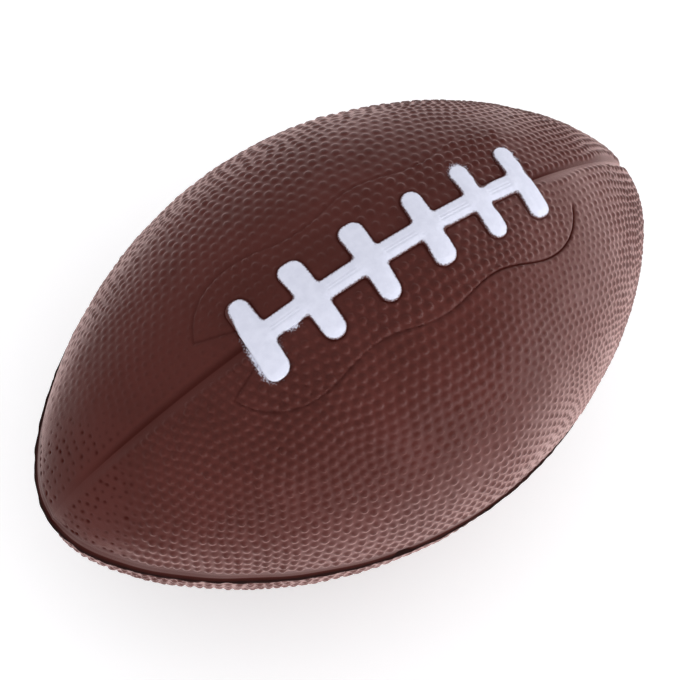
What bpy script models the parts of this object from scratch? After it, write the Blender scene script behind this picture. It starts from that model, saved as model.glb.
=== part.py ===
"""Small moulded foam football with raised lacing.

Metres, +X along the ball, +Z up through the lacing, origin at the ball's centre. A poured foam core sits in
two skin halves. The trimmed flash of the mould lies between them, and one lacing relief lies on the crown.
"""

import math

import bmesh
import bpy
import numpy as np

# Ball
BALL_LENGTH = 0.150
BALL_DIAMETER = 0.0915
TIP_RADIUS = 0.0163
SKIN_THICKNESS = 0.0020
CLEARANCE = 0.0003  # left between bodies that touch on the real ball

# Seam channels, pressed into the crown lines and along the parting line
CHANNEL_WIDTH = 0.0036
CHANNEL_DEPTH = 0.0009

# Flash left between the two mould halves
FLASH_THICKNESS = 0.0004
FLASH_PROUD = 0.0002

# Lacing: cross-bars on a grooved spine
BAR_COUNT = 6
BAR_PITCH = 0.01338
BAR_LENGTH = 0.0178
BAR_WIDTH = 0.0053
BAR_HEIGHT = 0.0010
SPINE_WIDTH = 0.0043
SPINE_HEIGHT = 0.00085
LACING_SHIFT = 0.0016  # how far the lacing's middle lies towards +X
CORNER_FILLET = 0.0010
EDGE_ROUND = 0.0003
CORD_GROOVE_SPACING = 0.0010
CORD_GROOVE_WIDTH = 0.0005
CORD_GROOVE_DEPTH = 0.0002

# Wavy line pressed round the lace panel
PANEL_WIDTH = 0.0298  # mean of its bulges and waists
PANEL_WAVE = 0.0012
PANEL_END_SETBACK = 0.0042  # from the last bar in to the last bulge
NOTCH_WIDTH = 0.0138
NOTCH_ROOT_WIDTH = 0.0066
PANEL_LINE_WIDTH = 0.0008
PANEL_LINE_DEPTH = 0.0005

# Facets
SKIN_STEPS = (36, 40)  # along the ball, round it
CORE_STEPS = (24, 28)
SEAM_STEPS = 84  # round the whole outline
CHANNEL_STEPS = 4
PANEL_LINE_STEPS = 2
WAVE_STEPS = 28
PANEL_END_STEPS = 8
FILLET_STEPS = 2
BAR_END_STEPS = 4
EDGE_ROUND_STEPS = 2

# Worked out from the sizes above
HALF_LENGTH = BALL_LENGTH / 2
HALF_DIAMETER = BALL_DIAMETER / 2
SLIMNESS = 1 - TIP_RADIUS * HALF_LENGTH / HALF_DIAMETER**2
RIM_HEIGHT = FLASH_THICKNESS / 2 + CLEARANCE
LACING_REACH = BAR_PITCH * (BAR_COUNT - 1) / 2  # from the lacing's middle to its last bar
BAR_CENTRES = [LACING_SHIFT - LACING_REACH + BAR_PITCH * i for i in range(BAR_COUNT)]
BAR_ROOT = BAR_WIDTH / 2
BAR_FOOT = BAR_ROOT + CORNER_FILLET  # half-width where a bar runs into the spine
MERGE = 1e-7


def outline(turn, inset=0.0):
    """Point of the ball's outline as (along X, away from X), moved in by inset.

    A turn of 0 is the -X tip, pi is the +X tip, and the second half turn comes back on the other side.
    """
    lean, rise = np.cos(turn), np.sin(turn)
    slim = np.sqrt(1 - SLIMNESS * lean**2)
    step_along = HALF_LENGTH * rise
    step_away = HALF_DIAMETER * lean * (slim + SLIMNESS * rise**2 / slim)
    shift = inset / np.hypot(step_along, step_away)
    along = -HALF_LENGTH * lean + shift * step_away
    away = HALF_DIAMETER * rise * slim - shift * step_along
    return along, away


# Distance along the crown line from the ball's middle, for each of many turns from tip to tip
CROWN_TURNS = np.linspace(0, math.pi, 2001)
CROWN_STEPS = np.hypot(*np.diff(outline(CROWN_TURNS)))
CROWN_DISTANCES = np.concatenate([[0], np.cumsum(CROWN_STEPS)]) - CROWN_STEPS.sum() / 2


def turn_at(along):
    """The turn at a distance along the crown line from the ball's middle."""
    return np.interp(along, CROWN_DISTANCES, CROWN_TURNS)


def on_ball(along, around, height):
    """Point above the ball's surface, from distances along the crown line and round the ball from it."""
    turn = turn_at(along)
    angle = around / outline(turn)[1]
    x, away = outline(turn, -height)
    return x, away * math.sin(angle), away * math.cos(angle)


def spread(start, stop, steps):
    """Evenly spaced values from start to stop, both included."""
    return [start + (stop - start) * i / steps for i in range(steps + 1)]


def material(name, colour, roughness):
    made = bpy.data.materials.new(name)
    made.use_nodes = True
    shader = made.node_tree.nodes["Principled BSDF"]
    shader.inputs["Base Color"].default_value = (*colour, 1)
    shader.inputs["Roughness"].default_value = roughness
    shader.inputs["Metallic"].default_value = 0
    return made


def add_object(name, mesh, finish=None):
    """Turns a bmesh into an object of the scene. With no finish it is a cutter, which isn't rendered."""
    bmesh.ops.recalc_face_normals(mesh, faces=mesh.faces)
    data = bpy.data.meshes.new(name)
    mesh.to_mesh(data)
    mesh.free()
    made = bpy.data.objects.new(name, data)
    bpy.context.scene.collection.objects.link(made)
    if finish:
        data.materials.append(finish)
        data.shade_smooth()
        data.set_sharp_from_angle(angle=math.radians(40))
    else:
        made.hide_render = True
        made.display_type = "WIRE"
    return made


def cut(target, cutter):
    boolean = target.modifiers.new(cutter.name, "BOOLEAN")
    boolean.operation = "DIFFERENCE"
    boolean.solver = "EXACT"
    boolean.object = cutter


def turned_surface(mesh, inset, steps):
    """Spins the ball's outline, moved in by inset, about X into a closed surface."""
    along_steps, round_steps = steps
    points = [outline(turn, inset) for turn in spread(0, math.pi, along_steps)]
    verts = [mesh.verts.new((x, 0, away)) for x, away in points]
    edges = [mesh.edges.new(pair) for pair in zip(verts, verts[1:])]
    bmesh.ops.spin(
        mesh,
        geom=verts + edges,
        cent=(0, 0, 0),
        axis=(1, 0, 0),
        angle=2 * math.pi,
        steps=round_steps,
        use_merge=True,
    )
    bmesh.ops.remove_doubles(mesh, verts=mesh.verts, dist=MERGE)


def swept_solid(rings, closed):
    """Joins rings of points, one after the other, into a closed solid: a loop, or a bar with flat ends."""
    mesh = bmesh.new()
    loops = [[mesh.verts.new(point) for point in ring] for ring in rings]
    followers = loops[1:] + loops[:1] if closed else loops[1:]
    for loop, follower in zip(loops, followers):
        for i in range(len(loop)):
            mesh.faces.new((loop[i - 1], loop[i], follower[i], follower[i - 1]))
    if not closed:
        mesh.faces.new(loops[0])
        mesh.faces.new(loops[-1])
    return mesh


def groove_section(width, depth, steps):
    """Section of a groove's cutter as (aside, height): round below the surface, with a lid above it."""
    half_angle = 2 * math.atan(2 * depth / width)
    radius = width / 2 / math.sin(half_angle)
    bottom = [
        (radius * math.sin(angle), radius * (1 - math.cos(angle)) - depth)
        for angle in spread(-half_angle, half_angle, steps)
    ]
    return bottom + [(width / 2, depth), (-width / 2, depth)]


def parting_channel_cutter():
    section = groove_section(CHANNEL_WIDTH, CHANNEL_DEPTH, CHANNEL_STEPS)
    rings = [
        [(*outline(turn, -height), aside) for aside, height in section]
        for turn in spread(0, 2 * math.pi, SEAM_STEPS)[:-1]
    ]
    return add_object("parting_channel_cutter", swept_solid(rings, closed=True))


def crown_channel_cutter():
    """Runs from the last bar over both tips and along the lower crown back to the first bar."""
    section = groove_section(CHANNEL_WIDTH, CHANNEL_DEPTH, CHANNEL_STEPS)
    start = turn_at(BAR_CENTRES[-1])
    stop = 2 * math.pi + turn_at(BAR_CENTRES[0])
    steps = round(SEAM_STEPS * (stop - start) / (2 * math.pi))
    rings = []
    for turn in spread(start, stop, steps):
        ring = []
        for aside, height in section:
            x, z = outline(turn, -height)
            ring.append((x, aside, z))
        rings.append(ring)
    return add_object("crown_channel_cutter", swept_solid(rings, closed=False))


def panel_line():
    """Half of the lace panel's line as (along, around), from under the first bar round to under the last."""
    wave_length = LACING_REACH - PANEL_END_SETBACK
    end_radius = PANEL_WIDTH / 2 + PANEL_WAVE
    corner_angle = math.asin(NOTCH_WIDTH / 2 / end_radius)
    half = []
    for along in spread(0, wave_length, WAVE_STEPS // 2)[:-1]:
        around = PANEL_WIDTH / 2 + PANEL_WAVE * math.cos(2 * math.pi * along / wave_length)
        half.append((along, around))
    for angle in spread(math.pi / 2, corner_angle, PANEL_END_STEPS):
        half.append((wave_length + end_radius * math.cos(angle), end_radius * math.sin(angle)))
    half.append((LACING_REACH + BAR_ROOT / 2, NOTCH_ROOT_WIDTH / 2))
    mirrored = [(-along, around) for along, around in half[:0:-1]]
    return [(LACING_SHIFT + along, around) for along, around in mirrored + half]


def panel_line_cutter(name, side):
    section = groove_section(PANEL_LINE_WIDTH, PANEL_LINE_DEPTH, PANEL_LINE_STEPS)
    path = [np.array((along, side * around)) for along, around in panel_line()]
    headings = [(b - a) / np.linalg.norm(b - a) for a, b in zip(path, path[1:])]
    rings = []
    for point, before, after in zip(path, headings[:1] + headings, headings + headings[-1:]):
        mitre = (before + after) / (1 + before @ after)
        aside_way = np.array((-mitre[1], mitre[0]))
        spots = [(point + aside * aside_way, height) for aside, height in section]
        rings.append([on_ball(*spot, height) for spot, height in spots])
    return add_object(name, swept_solid(rings, closed=False))


def foam_core():
    mesh = bmesh.new()
    turned_surface(mesh, SKIN_THICKNESS + CLEARANCE, CORE_STEPS)
    return add_object("foam_core", mesh, material("foam", (0.42, 0.30, 0.17), 0.95))


def skin_half(name, side, finish):
    """The skin on one side of the parting plane: +1 is the upper half, -1 the lower."""
    mesh = bmesh.new()
    turned_surface(mesh, 0, SKIN_STEPS)
    turned_surface(mesh, SKIN_THICKNESS, CORE_STEPS)
    bmesh.ops.bisect_plane(
        mesh,
        geom=mesh.verts[:] + mesh.edges[:] + mesh.faces[:],
        dist=MERGE,
        plane_co=(0, 0, side * RIM_HEIGHT),
        plane_no=(0, 0, side),
        clear_inner=True,
    )
    rim = [edge for edge in mesh.edges if edge.is_boundary]
    bmesh.ops.triangle_fill(mesh, edges=rim, use_beauty=True)
    return add_object(name, mesh, finish)


def parting_flash():
    half = FLASH_THICKNESS / 2
    section = [(-FLASH_PROUD, half), (-FLASH_PROUD, -half), (SKIN_THICKNESS, -half), (SKIN_THICKNESS, half)]
    rings = [
        [(*outline(turn, inset), z) for inset, z in section]
        for turn in spread(0, 2 * math.pi, SEAM_STEPS)[:-1]
    ]
    mesh = swept_solid(rings, closed=True)
    return add_object("parting_flash", mesh, material("flash", (0.030, 0.016, 0.014), 0.55))


def spine_rows():
    """Distances from the lacing's centre line to the rows of points on one side of the spine."""
    groove = CORD_GROOVE_SPACING / 2
    half = CORD_GROOVE_WIDTH / 2
    return [0, groove - half, groove, groove + half, SPINE_WIDTH / 2]


def bar_rows():
    """Rows of points on one side of a bar: distance from the centre line, plain and footed half-widths.

    The foot is the pair of fillets where the bar runs into the spine.
    """
    rows = [(away, BAR_ROOT, BAR_FOOT) for away in spine_rows()]
    for angle in spread(0, math.pi / 2, FILLET_STEPS)[1:]:
        away = SPINE_WIDTH / 2 + CORNER_FILLET * (1 - math.cos(angle))
        rows.append((away, BAR_ROOT, BAR_ROOT + CORNER_FILLET * (1 - math.sin(angle))))
    for angle in spread(0, math.pi / 2, BAR_END_STEPS):
        half_width = BAR_ROOT * math.cos(angle)
        rows.append((BAR_LENGTH / 2 - BAR_ROOT + BAR_ROOT * math.sin(angle), half_width, half_width))
    return rows


def mirrored_rows(rows):
    """Adds the rows of the other side, so that they run from one edge to the other."""
    return [(-away, *widths) for away, *widths in rows[:0:-1]] + [tuple(row) for row in rows]


def flat_patch(mesh, rows):
    """Faces between rows of flat points, all at the spine's height."""
    verts = [[mesh.verts.new((along, around, SPINE_HEIGHT)) for along, around in row] for row in rows]
    for lower, upper in zip(verts, verts[1:]):
        for i in range(len(lower) - 1):
            mesh.faces.new((lower[i], lower[i + 1], upper[i + 1], upper[i]))


def flat_lacing():
    """The lacing's flat outline, filled with rows of faces that can bend: X along the lacing, Y across it."""
    mesh = bmesh.new()
    inner = BAR_ROOT / BAR_FOOT
    for i, centre in enumerate(BAR_CENTRES):
        rows = []
        for around, plain, footed in mirrored_rows(bar_rows()):
            left = plain if i == 0 else footed
            right = plain if i == BAR_COUNT - 1 else footed
            offsets = (-left, -left * inner, right * inner, right)
            rows.append([(centre + offset, around) for offset in offsets])
        flat_patch(mesh, rows)
    for centre, following in zip(BAR_CENTRES, BAR_CENTRES[1:]):
        stations = (centre + BAR_FOOT, following - BAR_FOOT)
        spine = mirrored_rows([(away,) for away in spine_rows()])
        flat_patch(mesh, [[(station, away) for station in stations] for (away,) in spine])
    bmesh.ops.remove_doubles(mesh, verts=mesh.verts, dist=MERGE)
    bmesh.ops.dissolve_degenerate(mesh, edges=mesh.edges, dist=MERGE)
    return mesh


def bar_share(along):
    """1 on a bar, 0 on the spine between bars, and a ramp as long as the corner fillet."""
    offset = min(abs(along - centre) for centre in BAR_CENTRES)
    return min(max((BAR_FOOT - offset) / CORNER_FILLET, 0), 1)


def lacing():
    """The flat lacing, thickened, with a rounded upper edge, shaped in height and wrapped on to the ball."""
    mesh = flat_lacing()
    underside = bmesh.ops.extrude_face_region(mesh, geom=mesh.faces[:], use_keep_orig=True)["geom"]
    for element in underside:
        if isinstance(element, bmesh.types.BMVert):
            element.co.z = CLEARANCE
    bmesh.ops.recalc_face_normals(mesh, faces=mesh.faces)
    top_edges = [
        edge
        for edge in mesh.edges
        if all(vert.co.z > CLEARANCE for vert in edge.verts) and edge.calc_face_angle() > math.pi / 4
    ]
    bmesh.ops.bevel(
        mesh,
        geom=top_edges,
        offset=EDGE_ROUND,
        offset_type="OFFSET",
        segments=EDGE_ROUND_STEPS,
        profile=0.5,
        affect="EDGES",
    )
    for vert in mesh.verts:
        along, around, height = vert.co
        share = bar_share(along)
        if height > CLEARANCE + MERGE:
            height += share * (BAR_HEIGHT - SPINE_HEIGHT)
            if abs(abs(around) - CORD_GROOVE_SPACING / 2) < MERGE:
                height -= (1 - share) * CORD_GROOVE_DEPTH
        vert.co = on_ball(along, around, height)
    return add_object("lacing", mesh, material("lacing_white", (0.68, 0.69, 0.74), 0.5))


def main():
    for existing in list(bpy.data.objects):
        bpy.data.objects.remove(existing)
    skin = material("skin", (0.070, 0.022, 0.018), 0.45)
    foam_core()
    upper = skin_half("upper_skin", 1, skin)
    lower = skin_half("lower_skin", -1, skin.copy())
    parting = parting_channel_cutter()
    crown = crown_channel_cutter()
    for half in (upper, lower):
        cut(half, parting)
        cut(half, crown)
    cut(upper, panel_line_cutter("near_panel_line_cutter", -1))
    cut(upper, panel_line_cutter("far_panel_line_cutter", 1))
    parting_flash()
    lacing()


main()
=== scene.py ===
"""Looks of a small moulded foam football.

Metres, in the part's own frame: +X along the ball, +Z up through the lacing, origin at the ball's centre.
The skin is four quarter panels with real pebbles. They meet at the crown seam and at the parting line. The
lacing is one painted relief, the flash is a ragged ring between the mould halves, and foam fills the rest.
"""

import math

import bmesh
import bpy
import numpy as np
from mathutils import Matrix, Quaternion, Vector, kdtree


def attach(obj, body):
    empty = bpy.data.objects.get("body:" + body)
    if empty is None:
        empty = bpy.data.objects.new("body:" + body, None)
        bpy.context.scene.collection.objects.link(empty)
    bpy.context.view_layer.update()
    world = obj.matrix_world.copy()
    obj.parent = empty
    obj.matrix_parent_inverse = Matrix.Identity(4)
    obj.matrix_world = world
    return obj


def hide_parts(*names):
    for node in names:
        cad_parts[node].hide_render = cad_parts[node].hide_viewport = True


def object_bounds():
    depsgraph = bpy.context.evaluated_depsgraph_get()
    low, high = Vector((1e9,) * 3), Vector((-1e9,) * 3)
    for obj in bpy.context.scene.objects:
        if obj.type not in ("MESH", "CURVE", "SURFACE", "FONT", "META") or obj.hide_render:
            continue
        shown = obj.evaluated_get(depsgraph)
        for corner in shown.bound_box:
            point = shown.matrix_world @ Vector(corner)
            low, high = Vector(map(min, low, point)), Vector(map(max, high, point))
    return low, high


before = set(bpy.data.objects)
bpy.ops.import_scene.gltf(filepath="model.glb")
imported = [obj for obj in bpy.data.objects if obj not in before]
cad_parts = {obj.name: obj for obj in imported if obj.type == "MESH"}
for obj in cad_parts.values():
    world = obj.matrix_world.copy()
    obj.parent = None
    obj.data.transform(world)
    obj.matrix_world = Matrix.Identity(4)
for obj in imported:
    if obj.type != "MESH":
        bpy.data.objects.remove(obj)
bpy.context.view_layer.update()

# Ball
BALL_LENGTH = 0.150
BALL_DIAMETER = 0.0915
TIP_RADIUS = 0.0163
SKIN_THICKNESS = 0.0020
CORE_CLEARANCE = 0.0003
HALF_LENGTH = BALL_LENGTH / 2
HALF_DIAMETER = BALL_DIAMETER / 2
SLIMNESS = 1 - TIP_RADIUS * HALF_LENGTH / HALF_DIAMETER**2

# Skin mesh
FINE_STEPS = 4001  # points on a curve that even rows are taken from
SKIN_SPACING = 0.00031
INNER_SPACING = 0.0030
LINE_SNAP = 0.45  # share of the spacing within which points move onto the lace panel's line
SWELL_HEIGHT = 0.00007  # of the soft unevennesses of the foam

# Soft random fields: how far apart their bumps are, and their seeds
SWELL_FIELD = (0.014, 3)
PATCH_FIELD = (0.028, 5)  # stronger and weaker patches of pebbles
PIT_FIELD = (0.00152, 8)
TORN_FIELD = (0.009, 21)  # places where the flash is torn
CHIP_FIELD = (0.0015, 22)  # bits that stick out there
LIFT_FIELD = (0.007, 23)  # the flash's edge, up and down
RAGGED_FIELD = (0.003, 24)  # the flash's edge, in and out
DENT_FIELD = (0.006, 31)  # lumps of the foam
FIELD_WAVES = 14
FIELD_PACES = (0.6, 1.4)  # slowest and quickest waves of a field, as shares of the usual pace

# Crown seam: a soft smooth channel
NEAR_CHANNEL_REACH = 0.0022
FAR_CHANNEL_REACH = 0.0019  # its +Y flank is steeper, and darkened with painted shade
CHANNEL_DEPTH = 0.0008
SHALLOW_SHARE = 0.65  # of that depth on the +X side
CHANNEL_FADE = 0.0020  # how quickly the channel comes out from under the ends of the lacing
CHANNEL_START, CHANNEL_FULL = -0.074, -0.060  # it fades in from the -X tip
# Places along the ball, and how much painted shade darkens that flank there
FLANK_SHADES = ((0.042, 0.056), (0.45, 0.0))

# Sunken band above the parting line: a lip, a step down, then a cove that rises to the flash
# Places along the crown, and the band's width there
BAND_WIDTHS = ((-0.070, 0.010, 0.032), (0.0048, 0.0034, 0.0016))
BAND_LIP = 0.0018
BAND_STEP = 0.00018
COVE_REACH = 0.0014
BAND_SHADE = 0.0002  # width of the dark strip of painted shade beside the flash
BAND_SHADE_FADE = 0.52  # share of its width over which that clears
# Painted shade laid over the whole sunken band
BAND_SHADE_LEVEL = 0.4
NICK = (-0.0186, 0.0015)  # place along the ball and reach of a nick in the band, on the -Y side; painted shade fills it
NICK_DEPTH = 0.0005
LOWER_CORNER = 0.0003  # rounding of the lower skin's edge
LOWER_SETBACK = 0.0002  # the lower half is a little smaller

# Pebbles
# Places along the ball, and how far apart the pebbles are there, on the -Y and +Y sides
PEBBLE_PITCHES = {
    -1: ((-0.045, -0.015, 0.005, 0.025), (0.0021, 0.0024, 0.0024, 0.0019)),
    1: ((-0.045, -0.010, 0.015, 0.045), (0.0021, 0.0025, 0.0026, 0.0019)),
}
PEBBLE_ROW_GAP = 0.89  # pitches between the rows of pebbles
PEBBLE_ROW_STARTS = (1.6, 2.6)  # pitches from the -X tip to a row's first pebble, at least and at most
PEBBLE_SCATTER = 0.00022
PEBBLE_WANDER = 0.0007  # how far the rows of pebbles wander
WANDER_LENGTH = 0.016
PEBBLE_ROOM = 1.24  # closer than this many pitches, pebbles push each other apart
PEBBLE_PUSH = 0.25  # how hard they push, in pitches
PEBBLE_ROUNDS = 8
PEBBLE_TIP_LIMIT = 0.985  # share of the half length, beyond which there are none
LEAST_AWAY = 0.004  # nearer to the X axis than this, an angle for a margin grows no further
PEBBLE_RADIUS = 0.45  # pitches
RADIUS_SPREAD = 0.06
PEBBLE_STRENGTH = 0.95
STRENGTH_SPREAD = 0.12
STRENGTH_LIMITS = (0.4, 1.3)
PATCH_SHARE = 0.15  # how much the strength changes from patch to patch
PEBBLE_EDGE = 0.65  # share of its radius over which a pebble rises
PEBBLE_HEIGHT = 0.00022
PEBBLE_ANGLES = (math.radians(28), math.radians(64))  # where the crown's pebbles end and the side's start
# Places along the ball, and how high the pebbles are there beside the crown and down the side
PEBBLE_HEIGHTS = {
    -1: (
        (-0.060, -0.035, -0.010, 0.025, 0.040, 0.055),
        (1.4, 2.0, 1.4, 0.5, 0.4, 1.2),
        (1.8, 1.7, 1.3, 1.0, 1.1, 1.5),
    ),
    1: (
        (-0.060, -0.045, -0.025, 0.020, 0.040, 0.055),
        (0.3, 0.6, 1.2, 0.8, 0.9, 1.3),
        (0.4, 1.0, 1.4, 1.5, 1.9, 2.2),
    ),
}
# Places along the ball, and how many times higher the pebbles are there in the lace panel
PANEL_PEBBLES = ((-0.030, -0.010, 0.015), (1.2, 1.7, 2.1))
PEBBLE_CLEARANCE = 0.0008  # from the lacing's edge, over which the pebbles rise
# Places along the ball, and how much the pebbles' tops are rubbed there
RUBBED_PLACES = ((-0.020, 0.015), (0.6, 0.85))
RUBBED_FALL = 1.5  # how quickly that ends away from the tops
SEAM_MARGINS = (0.0023, 0.0015)  # from a seam to the nearest pebble centres, on the -X and +X sides
UPPER_RIM_MARGIN = 0.0009  # above the sunken band
LOWER_RIM_MARGIN = 0.0013

# Pits
PITTED_START = -0.053  # towards the -X tip from here, the pebbles give way to small pits
PITTED_END = -0.064
PITTED_LEAN = 0.4  # away from the seam they start nearer the tip
PITTED_LOSS = 0.8  # share of their strength that the pebbles lose there
PIT_RADIUS = 0.00038
PIT_DEPTH = 0.00018
PIT_STRENGTHS = (0.5, 1.1)
PIT_SCATTER = 0.00018
PIT_WOBBLE = 0.25  # how far the pits are from round

# Bloom: how wide a sheen it gives
CHALK_CROWN = 0.33
CHALK_SIDES = {-1: 0.445, 1: 0.42}  # towards -Y and +Y
CHALK_ANGLES = (math.radians(44), math.radians(32))  # where it starts to widen, and over how much
# Places along the ball, and how much wider it is there
CHALK_ALONG = {
    -1: ((-0.010, 0.005, 0.020, 0.050, 0.066), (0.0, -0.01, 0.09, 0.10, 0.035)),
    1: ((-0.040, -0.010), (-0.03, 0.0)),
}

# Lacing. Each bar: its place along the crown, width, length, and how much its place and width change over
# SLANT_RUN towards +Y
SLANT_RUN = 0.012
BARS = (
    (-0.03190, 0.0053, 0.0180, 0.0003, -0.0002),
    (-0.01900, 0.0054, 0.0182, -0.0004, 0.0006),
    (-0.00540, 0.0053, 0.0180, 0.0004, 0.0008),
    (0.00866, 0.0052, 0.0170, 0.0011, -0.0005),
    (0.02220, 0.0049, 0.0176, 0.0006, 0.0),
    (0.03505, 0.0055, 0.0176, 0.0012, -0.0006),
)
BAR_CORNER = 0.0024
BAR_HEIGHT = 0.0008
SPINE_WIDTH = 0.0043
SPINE_HEIGHT = 0.00065
SPINE_DRIFT = 0.0009  # how far the spine has wandered towards +Y at its +X end
BAR_DRIFT = 0.0006
CORNER_FILLET = 0.0010
EDGE_ROUND = 0.00035
PUFF_REACH = 0.0018  # the tops of the bars and the spine bulge a little
PUFF_DROP = 0.0002
CORD_GROOVE_SPACING = 0.00065
CORD_GROOVE_WIDTH = 0.0003
CORD_GROOVE_DEPTH = 0.00010
LACING_SPACING = 0.00014
LACING_SNAP = 0.6  # share of the spacing within which points move onto the lacing's outline
LACING_SNAP_ROUNDS = 2
LACING_SINK = 0.0004  # how far its foot goes into the skin
LACING_START, LACING_END = BARS[0][0], BARS[-1][0]
LACING_SHIFT = (LACING_START + LACING_END) / 2
LACING_REACH = (LACING_END - LACING_START) / 2
BAR_WIDTH = BARS[0][1]

# White paint. Where it went past the edge of the lacing, and where it stopped short: along, around, reach
OVERSPRAY_SPOTS = (
    (-0.0350, -0.0036, 0.0055),
    (-0.0250, -0.0021, 0.0016),
    (0.0235, 0.0090, 0.0028),
    (0.0392, 0.0080, 0.0038),
)
THIN_SPOTS = (
    (-0.0350, 0.0070, 0.0030),
    (0.0118, -0.0024, 0.0011),
    (0.0248, -0.0022, 0.0011),
    (0.0252, 0.0068, 0.0020),
    (0.0247, 0.0035, 0.0016),
    (0.0386, 0.0058, 0.0022),
    (0.0380, 0.0018, 0.0020),
)
PAINT_EDGE = 0.0004  # width of the strip where the paint thins out
PAINT_COVER = 3  # strip widths from the edge to where the paint is surely full
OVERSPRAY_COVER = 2  # strip widths that the stray paint adds to that
THIN_EDGE = 1.6  # strip widths that the thin spots take from it
OVERSPRAY_FADE = 0.0009
LEAST_FUZZ = 0.5  # how ragged the paint's edge is everywhere

# Line pressed round the lace panel
PANEL_WIDTH = 0.0298
PANEL_WAVE = 0.0012
PANEL_END_SETBACK = 0.0042
NOTCH_WIDTH = 0.0138
NOTCH_ROOT_WIDTH = 0.0066
PANEL_WAVE_STEPS = 60
PANEL_END_STEPS = 40
PANEL_LINE_REACH = 0.00028
PANEL_LINE_DEPTH = 0.00030
NEAR_LINE = ((0.0, 0.018), (0.7, 1.0))  # places along the ball, and how strong the line is there
FAR_LINE = ((-0.042, -0.034, 0.020, 0.040), (0.7, 0.6, 0.55, 0.2))
NOTCH_LINE = ((-0.001, 0.001), (0.75, 0.15))
NOTCH_FADE = 0.002

# Painted shade in the panel's line, along the foot of the lacing and in the pits
LINE_SHADE = 0.7
FOOT_SHADE = 0.5
FOOT_SHADE_REACH = 0.0004
PIT_SHADE = 0.8

# Flash between the mould halves
FLASH_THICKNESS = 0.0004
FLASH_EDGE = 0.6  # share of the thickness that is left at the outer edge
FLASH_PROUD = ((0.022, 0.036), (0.00035, 0.0001))  # places along the ball, and how far it stands out there
FLASH_RAGGEDNESS = 0.25  # share by which that changes
FLASH_CHIP = 0.00025  # how far the torn bits stand out
TORN_LIMIT = 1.2  # the flash is torn where its random field is above this
FLASH_LIFT = 0.00006  # how far its edge strays up and down
FLASH_GAP = 0.00005
FLASH_SPACING = 0.0003
RIM_LEVEL = FLASH_THICKNESS / 2 + FLASH_GAP

# Foam
FOAM_SPACING = 0.0020
FOAM_DENT = 0.0001

# Flat layout of a skin panel for baking, as shares of the map
MAP_LENGTH = 0.98
MAP_MIDDLE = 0.5
MAP_LEVELS = (0.22, 0.66)  # of the outside and the inside
WALL_LEVELS = (0.93, 0.91)  # of the seam wall's outer and inner edges
WALL_STEP = 0.04  # from there up to the rim wall


def smooth(share):
    """A soft step from 0 to 1 as share goes from 0 to 1."""
    share = np.clip(share, 0, 1)
    return share * share * (3 - 2 * share)


def outline(turn, inset=0.0):
    """Point of the ball's outline as (along X, away from X), moved in by inset.

    A turn of 0 is the -X tip, pi is the +X tip, and the second half turn comes back on the other side.
    """
    lean, rise = np.cos(turn), np.sin(turn)
    slim = np.sqrt(1 - SLIMNESS * lean**2)
    step_along = HALF_LENGTH * rise
    step_away = HALF_DIAMETER * lean * (slim + SLIMNESS * rise**2 / slim)
    shift = inset / np.hypot(step_along, step_away)
    along = -HALF_LENGTH * lean + shift * step_away
    away = HALF_DIAMETER * rise * slim - shift * step_along
    return along, away


# Distance along the crown line from the ball's middle, for each of many turns from tip to tip
CROWN_TURNS = np.linspace(0, math.pi, FINE_STEPS)
CROWN_STEPS = np.hypot(*np.diff(outline(CROWN_TURNS)))
CROWN_DISTANCES = np.concatenate([[0], np.cumsum(CROWN_STEPS)]) - CROWN_STEPS.sum() / 2


def turn_at(along):
    return np.interp(along, CROWN_DISTANCES, CROWN_TURNS)


def along_at(turn):
    return np.interp(turn, CROWN_TURNS, CROWN_DISTANCES)


def spaced_turns(start, stop, inset, spacing):
    """Turns from start to stop that are the same distance apart along the outline."""
    fine = np.linspace(start, stop, FINE_STEPS)
    distances = np.concatenate([[0], np.cumsum(np.hypot(*np.diff(outline(fine, inset))))])
    count = round(distances[-1] / spacing)
    return np.interp(np.linspace(0, distances[-1], count + 1), distances, fine)


def on_ball(turn, angle, height, half=1):
    """Points above the ball's surface. The angle runs from the crown line, positive towards +Y."""
    along, away = outline(turn, -height)
    return np.column_stack([along, away * np.sin(angle), half * away * np.cos(angle)])


def waves(points, length, seed):
    """A soft random field over points, mostly from -1 to 1, with bumps about length apart."""
    draw = np.random.default_rng(seed)
    total = np.zeros(len(points))
    for _ in range(FIELD_WAVES):
        heading = draw.normal(size=3)
        pace = 2 * math.pi / length * draw.uniform(*FIELD_PACES)
        total += np.sin(points @ heading * (pace / np.linalg.norm(heading)) + draw.uniform(0, 2 * math.pi))
    return total / math.sqrt(FIELD_WAVES)


def zipped(first, second):
    """Triangles that fill the strip between two rows of vertex numbers, whatever their counts."""
    triangles = []
    i = j = 0
    first_steps = max(len(first) - 1, 1e-9)
    second_steps = max(len(second) - 1, 1e-9)
    while i + 1 < len(first) or j + 1 < len(second):
        if (i + 0.5) / first_steps < (j + 0.5) / second_steps:
            triangles.append((first[i], first[i + 1], second[j]))
            i += 1
        else:
            triangles.append((first[i], second[j + 1], second[j]))
            j += 1
    return triangles


def zipped_rows(rows):
    return [triangle for pair in zip(rows, rows[1:]) for triangle in zipped(*pair)]


def add_piece(name, points, faces, finish, node, sharp=60):
    """Makes a mesh object that rides on the ball and stands for a node of the frame."""
    mesh = bpy.data.meshes.new(name)
    mesh.from_pydata(points, [], faces)
    mesh.materials.append(finish)
    mesh.shade_smooth()
    mesh.set_sharp_from_angle(angle=math.radians(sharp))
    piece = bpy.data.objects.new(name, mesh)
    bpy.context.scene.collection.objects.link(piece)
    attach(piece, "root")
    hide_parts(node)
    return piece


def add_attribute(piece, name, values):
    """Gives the finish a value at each point. Points after the given values get 0."""
    attribute = piece.data.attributes.new(name, "FLOAT", "POINT")
    padded = np.zeros(len(piece.data.vertices), np.float32)
    padded[: len(values)] = values
    attribute.data.foreach_set("value", padded)


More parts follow.
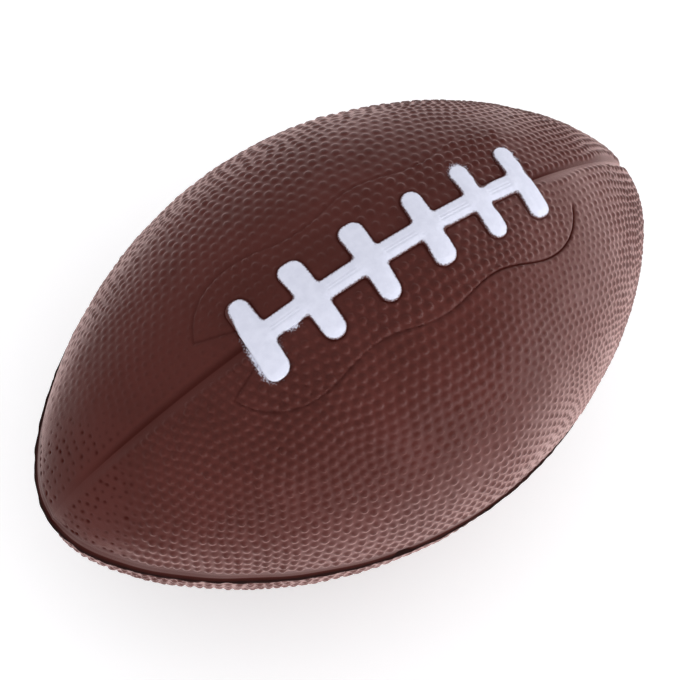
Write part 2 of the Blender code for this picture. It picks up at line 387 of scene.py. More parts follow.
def add_map(piece, places):
    """Lays the piece out flat for baking, from one place for each corner of its faces."""
    layer = piece.data.uv_layers.new(name="OFBake")
    layer.data.foreach_set("uv", np.asarray(places, np.float32).ravel())


def panel_rows(inset, spacing):
    """Rows of points over a quarter of the ball, tip to tip: turns, angles and the numbers in each row."""
    quarter = np.linspace(0, math.pi / 2, FINE_STEPS)
    first = np.interp(RIM_LEVEL, outline(quarter, inset)[1], quarter)
    row_turns = spaced_turns(first, math.pi - first, inset, spacing)
    turns, angles, rows = [], [], []
    for i, turn in enumerate(row_turns):
        away = outline(turn, inset)[1]
        reach = math.acos(min(RIM_LEVEL / away, 1))
        is_tip = i in (0, len(row_turns) - 1)
        count = 1 if is_tip else max(2, round(away * reach / spacing) + 1)
        rows.append(list(range(len(turns), len(turns) + count)))
        turns.extend([turn] * count)
        angles.extend(np.linspace(0, reach, count))
    return np.array(turns), np.array(angles), rows


def panel_line():
    """Half of the lace panel's line as (along, around), from under the first bar to under the last."""
    wave_length = LACING_REACH - PANEL_END_SETBACK
    end_radius = PANEL_WIDTH / 2 + PANEL_WAVE
    corner_angle = math.asin(NOTCH_WIDTH / 2 / end_radius)
    along = np.linspace(0, wave_length, PANEL_WAVE_STEPS)
    wave = np.column_stack([along, PANEL_WIDTH / 2 + PANEL_WAVE * np.cos(2 * math.pi * along / wave_length)])
    angle = np.linspace(math.pi / 2, corner_angle, PANEL_END_STEPS)[1:]
    end = np.column_stack([wave_length + end_radius * np.cos(angle), end_radius * np.sin(angle)])
    root = [[LACING_REACH + BAR_WIDTH / 4, NOTCH_ROOT_WIDTH / 2]]
    half = np.concatenate([wave, end, root])
    line = np.concatenate([half[:0:-1] * (-1, 1), half])
    return line + (LACING_SHIFT, 0)


def nearest_on_line(places, line):
    """Nearest point of a line of straight runs, and the distance to it, for each place."""
    best = np.full(len(places), np.inf)
    spots = np.zeros_like(places)
    for start, stop in zip(line, line[1:]):
        run = stop - start
        share = np.clip((places - start) @ run / (run @ run), 0, 1)
        spot = start + share[:, None] * run
        gap = np.linalg.norm(places - spot, axis=1)
        closer = gap < best
        best[closer] = gap[closer]
        spots[closer] = spot[closer]
    return spots, best


def drift(along, amount):
    """How far the lacing has wandered towards +Y."""
    return amount * np.clip((along - LACING_START) / (LACING_END - LACING_START), 0, 1)


def lacing_edge(along, around):
    """Distance outside the lacing's outline, negative on the lacing itself."""
    aside = around - drift(along, SPINE_DRIFT)
    beyond = np.abs(along - LACING_SHIFT) - LACING_REACH
    edge = np.maximum(np.abs(aside) - SPINE_WIDTH / 2, beyond)
    for centre, width, length, slant, flare in BARS:
        aside = around - drift(centre, BAR_DRIFT)
        off_middle = np.abs(along - centre - slant * aside / SLANT_RUN)
        past_side = off_middle - (width + flare * aside / SLANT_RUN) / 2 + BAR_CORNER
        past_end = np.abs(aside) - length / 2 + BAR_CORNER
        outside = np.hypot(np.maximum(past_side, 0), np.maximum(past_end, 0))
        bar = outside + np.minimum(np.maximum(past_side, past_end), 0) - BAR_CORNER
        share = np.clip(0.5 + (bar - edge) / (2 * CORNER_FILLET), 0, 1)
        edge = bar + (edge - bar) * share - CORNER_FILLET * share * (1 - share)
    return edge


def pebble_pitch(x, side):
    return np.interp(x, *PEBBLE_PITCHES[side])


def settled(points, side, in_panel):
    """Pushes crowded points apart, a little at a time, and keeps them in their panel."""
    for _ in range(PEBBLE_ROUNDS):
        apart = points[:, None] - points[None]
        gap = np.linalg.norm(apart, axis=2) + 1e-6
        np.fill_diagonal(gap, np.inf)
        pitch = pebble_pitch(points[:, :1], side)
        push = np.clip(1 - gap / (PEBBLE_ROOM * pitch), 0, None) / gap
        points = in_panel(points + PEBBLE_PUSH * pitch * np.einsum("ij,ijk->ik", push, apart))
    return points


def band_width(along):
    return np.interp(along, *BAND_WIDTHS)


def pebble_centres(side, half, draw):
    """Places of the pebbles on one panel: uneven rows along its seam, pressed up against its edges."""

    def rim_margin(turn):
        return UPPER_RIM_MARGIN + band_width(along_at(turn)) if half > 0 else LOWER_RIM_MARGIN

    def in_panel(points):
        lean = np.clip(-points[:, 0] / HALF_LENGTH, -PEBBLE_TIP_LIMIT, PEBBLE_TIP_LIMIT)
        turn = np.arccos(lean)
        angle = np.arctan2(side * points[:, 1], half * points[:, 2])
        on_lacing = (half > 0) & (np.abs(along_at(turn) - LACING_SHIFT) < LACING_REACH)
        seam_margin = np.where(points[:, 0] < 0, *SEAM_MARGINS) * ~on_lacing
        room = np.maximum(outline(turn)[1], LEAST_AWAY)
        angle = np.clip(angle, seam_margin / room, math.pi / 2 - rim_margin(turn) / room)
        return on_ball(turn, side * angle, 0, half)

    places = []
    pitches = np.cumsum(np.gradient(CROWN_DISTANCES) / pebble_pitch(outline(CROWN_TURNS)[0], side))
    row_count = round(HALF_DIAMETER * math.pi / 2 / PEBBLE_ROW_GAP / min(PEBBLE_PITCHES[side][1]))
    for row in range(row_count):
        start = draw.uniform(*PEBBLE_ROW_STARTS)
        turn = np.interp(np.arange(start, pitches[-1]), pitches, CROWN_TURNS)
        along, away = outline(turn)
        row_gap = PEBBLE_ROW_GAP * pebble_pitch(along, side)
        around = SEAM_MARGINS[0] + row * row_gap
        inside = around < away * math.pi / 2 - rim_margin(turn) + row_gap / 2
        places.append(on_ball(turn[inside], side * (around / away)[inside], 0, half))
    points = np.concatenate(places)
    wander = np.column_stack([waves(points, WANDER_LENGTH, seed) for seed in draw.integers(1000, size=3)])
    points = points + PEBBLE_WANDER * wander + draw.normal(scale=PEBBLE_SCATTER, size=points.shape)
    return settled(in_panel(points), side, in_panel)


def nearest_pebbles(points, centres):
    """Number of the nearest pebble centre to each point, and the distance to it."""
    tree = kdtree.KDTree(len(centres))
    for number, centre in enumerate(centres):
        tree.insert(centre, number)
    tree.balance()
    found = [tree.find(point)[1:] for point in points]
    numbers, gaps = zip(*found)
    return np.array(numbers), np.array(gaps)


def spotted(along, around, spots):
    """1 at the middle of each spot, fading away over its reach."""
    share = np.zeros(len(along))
    for spot_along, spot_around, reach in spots:
        gap = np.hypot(along - spot_along, around - spot_around)
        share = np.maximum(share, np.exp(-((gap / reach) ** 2)))
    return share


def overspray(along, around, lacing_gap):
    """How much stray paint lies on the skin beside the lacing."""
    fade = np.exp(-((np.maximum(lacing_gap, 0) / OVERSPRAY_FADE) ** 2))
    return spotted(along, around, OVERSPRAY_SPOTS) * fade


def line_strength(along, around):
    """How strongly the lace panel's line is pressed at each place."""
    side = np.where(around > 0, np.interp(along, *FAR_LINE), np.interp(along, *NEAR_LINE))
    in_notch = 1 - smooth((np.abs(around) - NOTCH_WIDTH / 2) / NOTCH_FADE)
    return side + in_notch * (np.interp(along, *NOTCH_LINE) - side)


def skin_points(half):
    """Points of a skin panel's outside: turns, angles, along, around, gaps to the panel line, and rows."""
    turn, angle, rows = panel_rows(0, SKIN_SPACING)
    along = along_at(turn)
    around = angle * outline(turn)[1]
    line_gap = np.full(len(turn), np.inf)
    if half > 0:
        near = np.abs(along - LACING_SHIFT) < LACING_REACH + PANEL_WIDTH / 2
        places = np.column_stack([along, around])
        spots, gaps = nearest_on_line(places[near], panel_line())
        snap = gaps < SKIN_SPACING * LINE_SNAP
        moved = np.where(snap[:, None], spots, places[near])
        along[near], around[near] = moved.T
        line_gap[near] = np.where(snap, 0, gaps)
        turn = turn_at(along)
        angle = around / outline(turn)[1]
    return turn, angle, along, around, line_gap, rows


def seam_channel(x, along, around, rim_gap, side, half):
    """1 at the bottom of the crown seam and 0 beyond its reach."""
    past_lacing = smooth((np.abs(along - LACING_SHIFT) - LACING_REACH) / CHANNEL_FADE) if half > 0 else 1
    across = 1 - smooth(around / (FAR_CHANNEL_REACH if side > 0 else NEAR_CHANNEL_REACH))
    from_rim = smooth(rim_gap / NEAR_CHANNEL_REACH - 1)
    from_tip = smooth((x - CHANNEL_START) / (CHANNEL_FULL - CHANNEL_START))
    return past_lacing * across * from_rim * from_tip


def rim_shape(x, along, rim_gap, side, half):
    """Height of the skin near the parting line, and the painted shade there."""
    if half < 0:
        # The lower skin's rounded edge is darkened with painted shade
        corner = np.clip(1 - rim_gap / LOWER_CORNER, 0, 1) ** 2
        return -LOWER_CORNER * corner - LOWER_SETBACK, corner
    width = band_width(along)
    band = 1 - smooth((rim_gap - width + BAND_LIP) / BAND_LIP)
    cove = np.clip(1 - rim_gap / COVE_REACH, 0, 1) ** 1.5
    height = BAND_STEP * (cove - band)
    # Painted shade: a light one over the whole band and a dark one beside the flash
    dull = BAND_SHADE_LEVEL * (1 - smooth((rim_gap - width + BAND_LIP / 3) / BAND_LIP))
    shade = np.maximum(1 - smooth((rim_gap - BAND_SHADE) / (BAND_SHADE_FADE * width)), dull)
    if side < 0:
        # A dented nick in the band, filled with painted shade
        nick = np.exp(-(((x - NICK[0]) / NICK[1]) ** 4) - (rim_gap / NICK[1]) ** 4)
        height -= NICK_DEPTH * nick
        shade = np.maximum(shade, nick)
    return height, shade


def pebble_heights(x, lean, from_seam, side, half):
    """Heights of pebbles, which change along the ball, down its side and in the lace panel."""
    at, by_crown, by_side = PEBBLE_HEIGHTS[side]
    along = along_at(np.arccos(np.clip(-x / HALF_LENGTH, -1, 1)))
    by_lacing = (half > 0) & (np.abs(along - LACING_SHIFT) < LACING_REACH + BAR_WIDTH)
    in_panel = by_lacing & (from_seam < PANEL_WIDTH / 2)
    on_crown = np.where(in_panel, np.interp(x, *PANEL_PEBBLES), 1) * np.interp(x, at, by_crown)
    on_side = np.interp(x, at, by_side)
    down_side = smooth((lean - PEBBLE_ANGLES[0]) / (PEBBLE_ANGLES[1] - PEBBLE_ANGLES[0]))
    return PEBBLE_HEIGHT * (on_crown + down_side * (on_side - on_crown))


def pebbles(base, side, half, draw):
    """Height of the pebbles, how rubbed they are, and how deep the pits are, at points of a skin panel."""
    centres = pebble_centres(side, half, draw)
    number, gap = nearest_pebbles(base, centres)
    count = len(centres)
    x = centres[:, 0]
    lean = np.arctan2(np.abs(centres[:, 1]), np.abs(centres[:, 2]))
    from_seam = lean * np.hypot(centres[:, 1], centres[:, 2])
    pitted = smooth((x + PITTED_LEAN * from_seam - PITTED_START) / (PITTED_END - PITTED_START)) * (half > 0)
    radius = PEBBLE_RADIUS * pebble_pitch(x, side) * draw.normal(1, RADIUS_SPREAD, count)
    strength = draw.normal(PEBBLE_STRENGTH, STRENGTH_SPREAD, count)
    strength = np.clip(strength + PATCH_SHARE * waves(centres, *PATCH_FIELD), *STRENGTH_LIMITS)
    strength *= 1 - PITTED_LOSS * pitted
    share = gap / radius[number]
    top = strength * pebble_heights(x, lean, from_seam, side, half)
    height = smooth((1 - share) / PEBBLE_EDGE) * top[number]
    rubbing = strength * np.interp(x, *RUBBED_PLACES)
    rubbed = np.clip(1 - share**2, 0, 1) ** RUBBED_FALL * rubbing[number]
    pits = centres + draw.normal(scale=PIT_SCATTER, size=centres.shape)
    pitting = pitted * draw.uniform(*PIT_STRENGTHS, count)
    wobble = 1 + PIT_WOBBLE * waves(base, *PIT_FIELD)
    pit_gap = np.linalg.norm(base - pits[number], axis=1) * wobble
    pit = np.exp(-((pit_gap / PIT_RADIUS) ** 2)) * pitting[number]
    return height, rubbed, pit


def map_panel(piece, turn, angle, is_inner, faces, seam_start, rim_start):
    """Lays a skin panel out flat: the outside, the inside above it, then the two walls as thin strips."""
    scale = MAP_LENGTH / (CROWN_DISTANCES[-1] - CROWN_DISTANCES[0])
    across = along_at(turn) * scale + MAP_MIDDLE
    up = (angle - math.pi / 4) * outline(turn)[1] * scale
    spread = np.column_stack([across, up + np.where(is_inner, MAP_LEVELS[1], MAP_LEVELS[0])])
    strip = np.column_stack([across, np.where(is_inner, WALL_LEVELS[1], WALL_LEVELS[0])])
    corners = spread[faces]
    corners[seam_start:] = strip[faces[seam_start:]]
    corners[rim_start:] += (0, WALL_STEP)
    add_map(piece, corners.reshape(-1, 2))


def skin_panel(name, side, half, node, finish, seed):
    """A quarter of the skin: side is -1 towards -Y, and half is 1 in the upper half, -1 in the lower."""
    draw = np.random.default_rng(seed)
    turn, angle, along, around, line_gap, rows = skin_points(half)
    base = on_ball(turn, side * angle, 0, half)
    x = base[:, 0]
    away = outline(turn)[1]
    rim_gap = away * (np.arccos(np.clip(RIM_LEVEL / away, -1, 1)) - angle)
    channel = seam_channel(x, along, around, rim_gap, side, half)
    rim_height, rim_shade = rim_shape(x, along, rim_gap, side, half)
    lacing_gap = lacing_edge(along, side * around) if half > 0 else np.full(len(turn), np.inf)
    line = line_strength(along, side * around)
    press = line * np.exp(-((line_gap / PANEL_LINE_REACH) ** 2))
    clear = smooth(lacing_gap / PEBBLE_CLEARANCE) * (1 - press)
    pebble, rubbed, pit = pebbles(base, side, half, draw)
    channel_depth = CHANNEL_DEPTH * np.where(x < 0, 1, SHALLOW_SHARE)
    height = pebble * clear - PIT_DEPTH * pit - channel_depth * channel + rim_height
    height += SWELL_HEIGHT * waves(base, *SWELL_FIELD) - PANEL_LINE_DEPTH * press
    outer = on_ball(turn, side * angle, height, half)
    inner_turn, inner_angle, inner_rows = panel_rows(SKIN_THICKNESS, INNER_SPACING)
    inner = on_ball(inner_turn, side * inner_angle, -SKIN_THICKNESS, half)

    # Faces: outside, inside, and the two narrow walls between them
    shift = len(outer)
    inner_rows = [[number + shift for number in row] for row in inner_rows]
    outside = zipped_rows(rows)
    inside = [face[::-1] for face in zipped_rows(inner_rows)]
    seam_wall = zipped([row[0] for row in rows], [row[0] for row in inner_rows])
    rim_wall = zipped([row[-1] for row in inner_rows], [row[-1] for row in rows])
    faces = np.array(outside + inside + seam_wall + rim_wall)
    if side * half > 0:
        faces = faces[:, ::-1]
    piece = add_piece(name, np.concatenate([outer, inner]), faces, finish, node)
    all_turn = np.concatenate([turn, inner_turn])
    all_angle = np.concatenate([angle, inner_angle])
    is_inner = np.arange(len(all_turn)) >= shift
    seam_start = len(outside) + len(inside)
    map_panel(piece, all_turn, all_angle, is_inner, faces, seam_start, seam_start + len(seam_wall))

    # What the finish reads at each point
    chalk = (CHALK_SIDES[side] - CHALK_CROWN) * smooth((angle - CHALK_ANGLES[0]) / CHALK_ANGLES[1])
    foot = np.exp(-((np.maximum(lacing_gap, 0) / FOOT_SHADE_REACH) ** 2))
    over = overspray(along, side * around, lacing_gap)
    # Painted shade in the sunken band, the panel's line, along the lacing's foot, in the pits and on the
    # seam's +Y flank
    crevice_shade = rim_shade + LINE_SHADE * line**2 * press + FOOT_SHADE * foot * (1 - over) + PIT_SHADE * pit
    # Painted shade on the seam's +Y flank
    if side > 0:
        crevice_shade += np.interp(x, *FLANK_SHADES) * channel
    add_attribute(piece, "rubbed", rubbed * clear)
    add_attribute(piece, "chalk", CHALK_CROWN + chalk + np.interp(x, *CHALK_ALONG[side]))
    add_attribute(piece, "crevice_shade", np.clip(crevice_shade, 0, 1))
    add_attribute(piece, "overspray", over)


def lacing_relief(along, around, edge):
    """Height of the lacing's top above the ball."""
    aside = np.abs(around - drift(along, SPINE_DRIFT))
    off_bar = np.min([np.abs(along - bar[0]) - bar[1] / 2 for bar in BARS], axis=0)
    share = 1 - smooth(off_bar / CORNER_FILLET)
    groove = np.exp(-(((aside - CORD_GROOVE_SPACING / 2) / (CORD_GROOVE_WIDTH / 2)) ** 2))
    height = SPINE_HEIGHT + share * (BAR_HEIGHT - SPINE_HEIGHT) - (1 - share) * CORD_GROOVE_DEPTH * groove
    height -= PUFF_DROP * (1 - smooth(-edge / PUFF_REACH))
    rounding = np.clip(1 + edge / EDGE_ROUND, 0, 1)
    return height - EDGE_ROUND * (1 - np.sqrt(1 - rounding**2))


def lacing(finish):
    """The painted relief: a grid on the crown, cut to the lacing's outline, with walls down into the skin."""
    reach_along = LACING_REACH + BAR_WIDTH
    reach_around = BARS[0][2] / 2 + BAR_WIDTH / 4
    along = np.arange(LACING_SHIFT - reach_along, LACING_SHIFT + reach_along, LACING_SPACING)
    around = np.arange(-reach_around, reach_around, LACING_SPACING)
    along, around = np.meshgrid(along, around, indexing="ij")
    columns = along.shape[1]
    along, around = along.ravel(), around.ravel()
    tiny = 1e-6
    for _ in range(LACING_SNAP_ROUNDS):
        edge = lacing_edge(along, around)
        slope_along = (lacing_edge(along + tiny, around) - edge) / tiny
        slope_around = (lacing_edge(along, around + tiny) - edge) / tiny
        near = np.abs(edge) < LACING_SNAP * LACING_SPACING
        along = along - np.where(near, edge * slope_along, 0)
        around = around - np.where(near, edge * slope_around, 0)
    edge = np.where(near, 0, lacing_edge(along, around))
    number = np.arange(len(along)).reshape(-1, columns)
    a, b, c, d = number[:-1, :-1], number[1:, :-1], number[1:, 1:], number[:-1, 1:]
    faces = np.concatenate([np.stack([a, b, c], -1).reshape(-1, 3), np.stack([a, c, d], -1).reshape(-1, 3)])
    faces = faces[(edge[faces] <= 0).all(axis=1)]
    used, faces = np.unique(faces, return_inverse=True)
    faces = faces.reshape(-1, 3)
    along, around, edge = along[used], around[used], edge[used]
    height = lacing_relief(along, around, edge)
    turn = turn_at(along)
    angle = around / outline(turn)[1]
    top = on_ball(turn, angle, height)
    foot = on_ball(turn, angle, -LACING_SINK)

    # The outline's edges belong to one face only
    pairs = np.concatenate([faces[:, [0, 1]], faces[:, [1, 2]], faces[:, [2, 0]]])
    directed = set(map(tuple, pairs))
    rim = [(i, j) for i, j in directed if (j, i) not in directed]
    shift = len(top)
    walls = [(j, i, i + shift, j + shift) for i, j in sorted(rim)]
    points = np.concatenate([top, foot])
    all_faces = faces.tolist() + [face[::-1] for face in (faces + shift).tolist()] + walls
    piece = add_piece("lacing_relief", points, all_faces, finish, "lacing", sharp=50)
    over = spotted(along, around, OVERSPRAY_SPOTS)
    thin = spotted(along, around, THIN_SPOTS)
    inside = np.clip(-edge / PAINT_EDGE, 0, PAINT_COVER) + OVERSPRAY_COVER * over - THIN_EDGE * thin
    add_attribute(piece, "inside", inside)
    add_attribute(piece, "fuzz", np.maximum(np.maximum(over, thin), LEAST_FUZZ))


def flash_ring(finish):
    """The trimmed web between the mould halves: a thin dark ring with a ragged edge."""
    turn = spaced_turns(0, 2 * math.pi, 0, FLASH_SPACING)[:-1]
    count = len(turn)
    along, away = outline(turn)
    place = np.column_stack([along, away, np.zeros(count)])
    torn = smooth(waves(place, *TORN_FIELD) - TORN_LIMIT) * (1 + waves(place, *CHIP_FIELD))
    proud = np.interp(along, *FLASH_PROUD) * (1 + FLASH_RAGGEDNESS * waves(place, *RAGGED_FIELD))
    proud += FLASH_CHIP * np.clip(torn, 0, 1)
    lift = FLASH_LIFT * waves(place, *LIFT_FIELD)
    half = FLASH_THICKNESS / 2
    edge = FLASH_EDGE * half
    section = [
        (SKIN_THICKNESS, half),
        (0, half),
        (-proud, lift + edge),
        (-proud, lift - edge),
        (0, -half),
        (SKIN_THICKNESS, -half),
    ]
    rings = []
    for inset, level in section:
        x, y = outline(turn, inset)
        rings.append(np.column_stack([x, y, np.broadcast_to(level, count)]))
    points = np.concatenate(rings)
    faces = []
    for ring in range(len(section)):
        start, after = ring * count, (ring + 1) % len(section) * count
        for i in range(count):
            j = (i + 1) % count
            faces.append((start + i, start + j, after + j, after + i))
    add_piece("flash_ring", points, faces, finish, "parting_flash")


def foam_core(finish):
    """The foam inside: a closed lumpy body just under the skin."""
    inset = SKIN_THICKNESS + CORE_CLEARANCE
    row_turns = spaced_turns(0, math.pi, inset, FOAM_SPACING)
    turns, angles, rows = [], [], []
    for i, turn in enumerate(row_turns):
        is_tip = i in (0, len(row_turns) - 1)
        girth = 2 * math.pi * outline(turn, inset)[1]
        count = 1 if is_tip else max(3, round(girth / FOAM_SPACING))
        numbers = list(range(len(turns), len(turns) + count))
        rows.append(numbers if is_tip else numbers + numbers[:1])
        turns.extend([turn] * count)
        angles.extend(np.arange(count) * 2 * math.pi / count)
    turns, angles = np.array(turns), np.array(angles)
    base = on_ball(turns, angles, -inset)
    dents = FOAM_DENT * (1 + np.clip(waves(base, *DENT_FIELD), -1, 1))
    points = on_ball(turns, angles, -inset - dents)
    faces = [face[::-1] for face in zipped_rows(rows)]
    piece = add_piece("foam_body", points, faces, finish, "foam_core")


# Colours, as linear light
BLOOM_TINT = (1.0, 0.70, 0.66)
SKIN_DARK = (0.0645, 0.0138, 0.0101)
SKIN_LIGHT = (0.0735, 0.0162, 0.0123)
PEBBLE_TOP = (0.051, 0.0108, 0.0078)
RUBBED_TINT = 0.4  # share of that colour on a fully rubbed pebble
# Colour of the painted shade in creases, pits and the sunken band
SHADE_BROWN = (0.024, 0.0046, 0.0035)
PAINT_LIGHT = (0.71, 0.725, 0.835)
PAINT_SHADE = (0.66, 0.675, 0.785)
# The flash's brown darkened to near black: painted shade of the parting gap
FLASH_DARK = (0.012, 0.005, 0.004)
FLASH_LIGHT = (0.036, 0.011, 0.009)
FOAM_LIGHT = (0.62, 0.50, 0.33)
FOAM_DARK = (0.40, 0.29, 0.17)
FLOOR_WHITE = (0.90, 0.90, 0.90)


class Nodes:
    """A node tree under construction: most methods add a node and give the socket that it ends in."""

    def __init__(self, owner):
        owner.use_nodes = True
        self.tree = owner.node_tree

    def set(self, socket, value):
        if isinstance(value, bpy.types.NodeSocket):
            self.tree.links.new(value, socket)
        elif isinstance(value, tuple):
            socket.default_value = (*value, 1)
        else:
            socket.default_value = value

    def ranged(self, value, low, high, to_low=0.0, to_high=1.0):
        node = self.tree.nodes.new("ShaderNodeMapRange")
        node.interpolation_type = "SMOOTHSTEP"
        for socket, given in zip(node.inputs, (value, low, high, to_low, to_high)):
            self.set(socket, given)
        return node.outputs["Result"]

    def maths(self, operation, first, second):
        node = self.tree.nodes.new("ShaderNodeMath")
        node.operation = operation
        self.set(node.inputs[0], first)
        self.set(node.inputs[1], second)
        return node.outputs["Value"]


class Finish(Nodes):
    """A material under construction."""

    def __init__(self, name, roughness, specular=0.5):
        self.material = bpy.data.materials.new(name)
        super().__init__(self.material)
        self.shader = self.tree.nodes["Principled BSDF"]
        self.shader.inputs["Roughness"].default_value = roughness
        self.shader.inputs["Specular IOR Level"].default_value = specular
        self.places = self.tree.nodes.new("ShaderNodeTexCoord").outputs["Object"]

    def noise(self, length, detail=2.0):
        node = self.tree.nodes.new("ShaderNodeTexNoise")
        self.set(node.inputs["Vector"], self.places)
        self.set(node.inputs["Scale"], 1 / length)
        self.set(node.inputs["Detail"], detail)
        return node.outputs["Fac"]

    def cells(self, length):
        node = self.tree.nodes.new("ShaderNodeTexVoronoi")
        self.set(node.inputs["Vector"], self.places)
        self.set(node.inputs["Scale"], 1 / length)
        return node.outputs["Distance"]

    def attribute(self, name):
        node = self.tree.nodes.new("ShaderNodeAttribute")
        node.attribute_name = name
        return node.outputs["Fac"]

    def mixed(self, share, first, second):
        node = self.tree.nodes.new("ShaderNodeMix")
        node.data_type = "RGBA"
        sockets = {s.identifier: s for s in node.inputs}
        self.set(sockets["Factor_Float"], share)
        self.set(sockets["A_Color"], first)
        self.set(sockets["B_Color"], second)
        return next(s for s in node.outputs if s.identifier == "Result_Color")

    def bump(self, height, distance):
        node = self.tree.nodes.new("ShaderNodeBump")
        self.set(node.inputs["Height"], height)
        self.set(node.inputs["Distance"], distance)
        self.set(node.inputs["Strength"], 1.0)
        return node.outputs["Normal"]

    def done(self, **sockets):
        for name, value in sockets.items():
            self.set(self.shader.inputs[name.replace("_", " ")], value)
        return self.material


def skin_finish():
    """Brown self-skinned foam: mottled, with pebbles rubbed dark, a dull bloom between them, and painted
    shade in its creases.
    """
    f = Finish("brown_skin", roughness=0.42)
    f.done(Sheen_Tint=BLOOM_TINT)
    rubbed = f.ranged(f.attribute("rubbed"), low=0.3, high=0.7)
    # Painted shade in creases, pits and the sunken band; it also takes the bloom and gloss away there
    crevice_shade = f.attribute("crevice_shade")
    on_pebbles = f.ranged(rubbed, low=0.0, high=1.0, to_low=1.0, to_high=0.3)
    in_crevices = f.ranged(crevice_shade, low=0.0, high=0.6, to_low=1.0, to_high=0.05)
    bloom = f.maths("MULTIPLY", on_pebbles, in_crevices)
    mottling = f.ranged(f.noise(length=0.012, detail=3.0), low=0.35, high=0.65)
    colour = f.mixed(mottling, SKIN_DARK, SKIN_LIGHT)
    colour = f.mixed(f.maths("MULTIPLY", rubbed, RUBBED_TINT), colour, PEBBLE_TOP)
    # Painted shade darkens the colour in creases, pits and the sunken band
    colour = f.mixed(crevice_shade, colour, SHADE_BROWN)
    specks = f.ranged(f.noise(length=0.0003), low=0.3, high=0.7, to_high=0.6)
    paint = f.ranged(f.maths("ADD", f.attribute("overspray"), specks), low=0.65, high=1.3)
    colour = f.mixed(paint, colour, PAINT_SHADE)
    normal = f.bump(f.noise(length=0.00022, detail=3.0), distance=0.00003)
    roughness = f.ranged(f.noise(length=0.004, detail=4.0), low=0.3, high=0.7, to_low=0.38, to_high=0.46)
    gloss = f.ranged(crevice_shade, low=0.0, high=0.6, to_low=0.10, to_high=0.0)
    f.done(Sheen_Weight=bloom, Sheen_Roughness=f.attribute("chalk"), Specular_IOR_Level=gloss)
    return f.done(Base_Color=colour, Roughness=roughness, Normal=normal)


def paint_finish():
    """White paint on top of the relief, a little uneven. It stops short of the brown flanks."""
    f = Finish("white_paint", roughness=0.5, specular=0.3)
    unevenness = f.ranged(f.noise(length=0.0016, detail=4.0), low=0.3, high=0.7)
    colour = f.mixed(unevenness, PAINT_SHADE, PAINT_LIGHT)
    fuzz = f.attribute("fuzz")
    grain = f.ranged(f.noise(length=0.0003), low=0.2, high=0.8, to_low=-0.8, to_high=0.8)
    cover = f.maths("ADD", f.attribute("inside"), f.maths("MULTIPLY", grain, fuzz))
    full = f.ranged(fuzz, low=0.0, high=1.0, to_low=0.5, to_high=2.0)
    bare = f.ranged(cover, low=0.1, high=full, to_low=1.0, to_high=0.0)
    colour = f.mixed(bare, colour, SKIN_DARK)
    return f.done(Base_Color=colour, Normal=f.bump(f.noise(length=0.0006, detail=3.0), distance=0.00006))


def flash_finish():
    """The torn edge of the flash, matt and slightly mottled, and near black with painted shade of the parting
    gap.
    """
    f = Finish("dark_flash", roughness=0.7, specular=0.1)
    colour = f.mixed(f.noise(length=0.002, detail=3.0), FLASH_DARK, FLASH_LIGHT)
    return f.done(Base_Color=colour, Normal=f.bump(f.noise(length=0.0004), distance=0.00004))


def foam_finish():
    """Cream open foam, with darker cells."""
    f = Finish("cream_foam", roughness=0.95, specular=0.2)
    cells = f.cells(length=0.0009)
    colour = f.mixed(f.ranged(cells, low=0.0, high=0.6), FOAM_DARK, FOAM_LIGHT)
    return f.done(Base_Color=colour, Normal=f.bump(cells, distance=0.0003))


FLOOR_REACH = 20.0
FLOOR_GLOW = 0.32  # what the floor adds for the camera, to be white


def add_floor():
    """A plain white floor under the ball, which keeps its shadow."""
    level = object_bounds()[0][2]
    mesh = bmesh.new()
    bmesh.ops.create_grid(mesh, x_segments=1, y_segments=1, size=FLOOR_REACH)
    data = bpy.data.meshes.new("floor")
    mesh.to_mesh(data)
    mesh.free()
    floor = bpy.data.objects.new("floor", data)
    floor.location.z = level
    bpy.context.scene.collection.objects.link(floor)
    f = Finish("white_floor", roughness=0.9, specular=0.0)
    data.materials.append(f.done(Base_Color=FLOOR_WHITE))
    path = f.tree.nodes.new("ShaderNodeLightPath").outputs
    seen = f.maths("MAXIMUM", path["Is Camera Ray"], path["Is Glossy Ray"])
    seen = f.maths("MAXIMUM", seen, path["Is Transmission Ray"])
    f.set(f.shader.inputs["Emission Color"], (1.0, 1.0, 1.0))
    f.set(f.shader.inputs["Emission Strength"], f.maths("MULTIPLY", seen, FLOOR_GLOW))


BRIGHT_SIDE = (0.30, -0.95, 0.0)
BRIGHT_FALL = (0.0, 0.0, 5.0)  # how quickly it dims away from the horizon
BRIGHT_RANGE = (0.0, 1.0)
ROOM_DIM = 0.95
ROOM_BRIGHT = 20.5
ROOM_TINT = (0.98, 0.98, 1.0)


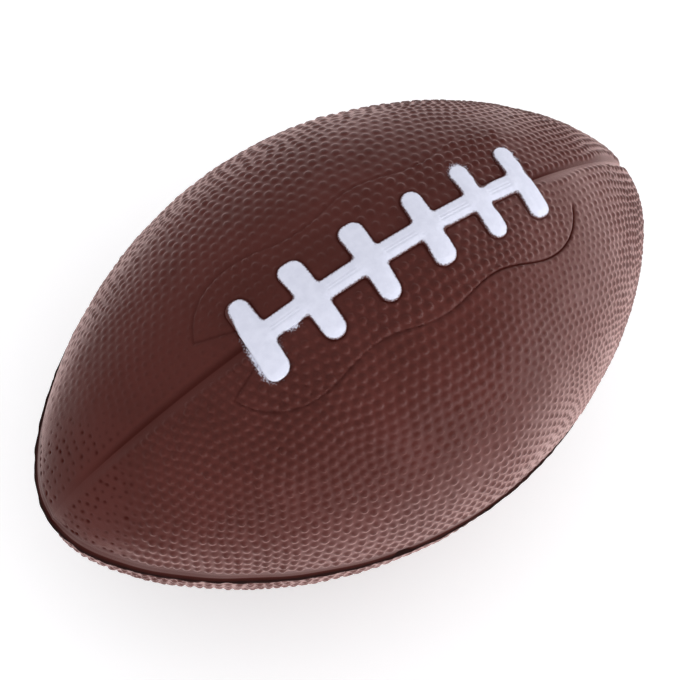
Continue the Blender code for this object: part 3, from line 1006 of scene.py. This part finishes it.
def add_world():
    """A soft studio room: a long low strip of light on one side, and dimmer elsewhere."""
    world = bpy.data.worlds.new("studio")
    bpy.context.scene.world = world
    w = Nodes(world)
    places = w.tree.nodes.new("ShaderNodeTexCoord").outputs["Generated"]
    upright = w.tree.nodes.new("ShaderNodeVectorMath")
    upright.operation = "ABSOLUTE"
    w.set(upright.inputs[0], places)

    def facing(direction, given):
        node = w.tree.nodes.new("ShaderNodeVectorMath")
        node.operation = "DOT_PRODUCT"
        w.set(node.inputs[0], direction)
        node.inputs[1].default_value = given
        return node.outputs["Value"]

    strip = w.maths("SUBTRACT", facing(places, BRIGHT_SIDE), facing(upright.outputs["Vector"], BRIGHT_FALL))
    light = w.ranged(strip, *BRIGHT_RANGE, ROOM_DIM, ROOM_BRIGHT)
    background = w.tree.nodes["Background"]
    w.set(background.inputs["Color"], ROOM_TINT)
    w.set(background.inputs["Strength"], light)


CAMERA_PLACE = (-0.16322, -0.09919, 0.40847)
CAMERA_AIM = (-0.00195, 0.00144, -0.00042)
CAMERA_ROLL = math.radians(24.39)
CAMERA_LENS = 112.82


def add_camera():
    """The camera at the photo's viewing angle."""
    lens = bpy.data.cameras.new("camera")
    lens.lens = CAMERA_LENS
    lens.sensor_width = 36
    lens.clip_start = 0.01
    camera = bpy.data.objects.new("camera", lens)
    camera.location = CAMERA_PLACE
    heading = (Vector(CAMERA_AIM) - Vector(CAMERA_PLACE)).to_track_quat("-Z", "Y")
    camera.rotation_mode = "QUATERNION"
    camera.rotation_quaternion = heading @ Quaternion((0, 0, 1), CAMERA_ROLL)
    bpy.context.scene.collection.objects.link(camera)
    bpy.context.scene.camera = camera


skin = skin_finish()
skin_panel("upper_near_skin", side=-1, half=1, node="upper_skin", finish=skin, seed=101)
skin_panel("upper_far_skin", side=1, half=1, node="upper_skin", finish=skin, seed=102)
skin_panel("lower_near_skin", side=-1, half=-1, node="lower_skin", finish=skin, seed=103)
skin_panel("lower_far_skin", side=1, half=-1, node="lower_skin", finish=skin, seed=104)
lacing(paint_finish())
flash_ring(flash_finish())
foam_core(foam_finish())

add_floor()
add_world()
add_camera()
bpy.context.scene.view_settings.view_transform = "Standard"
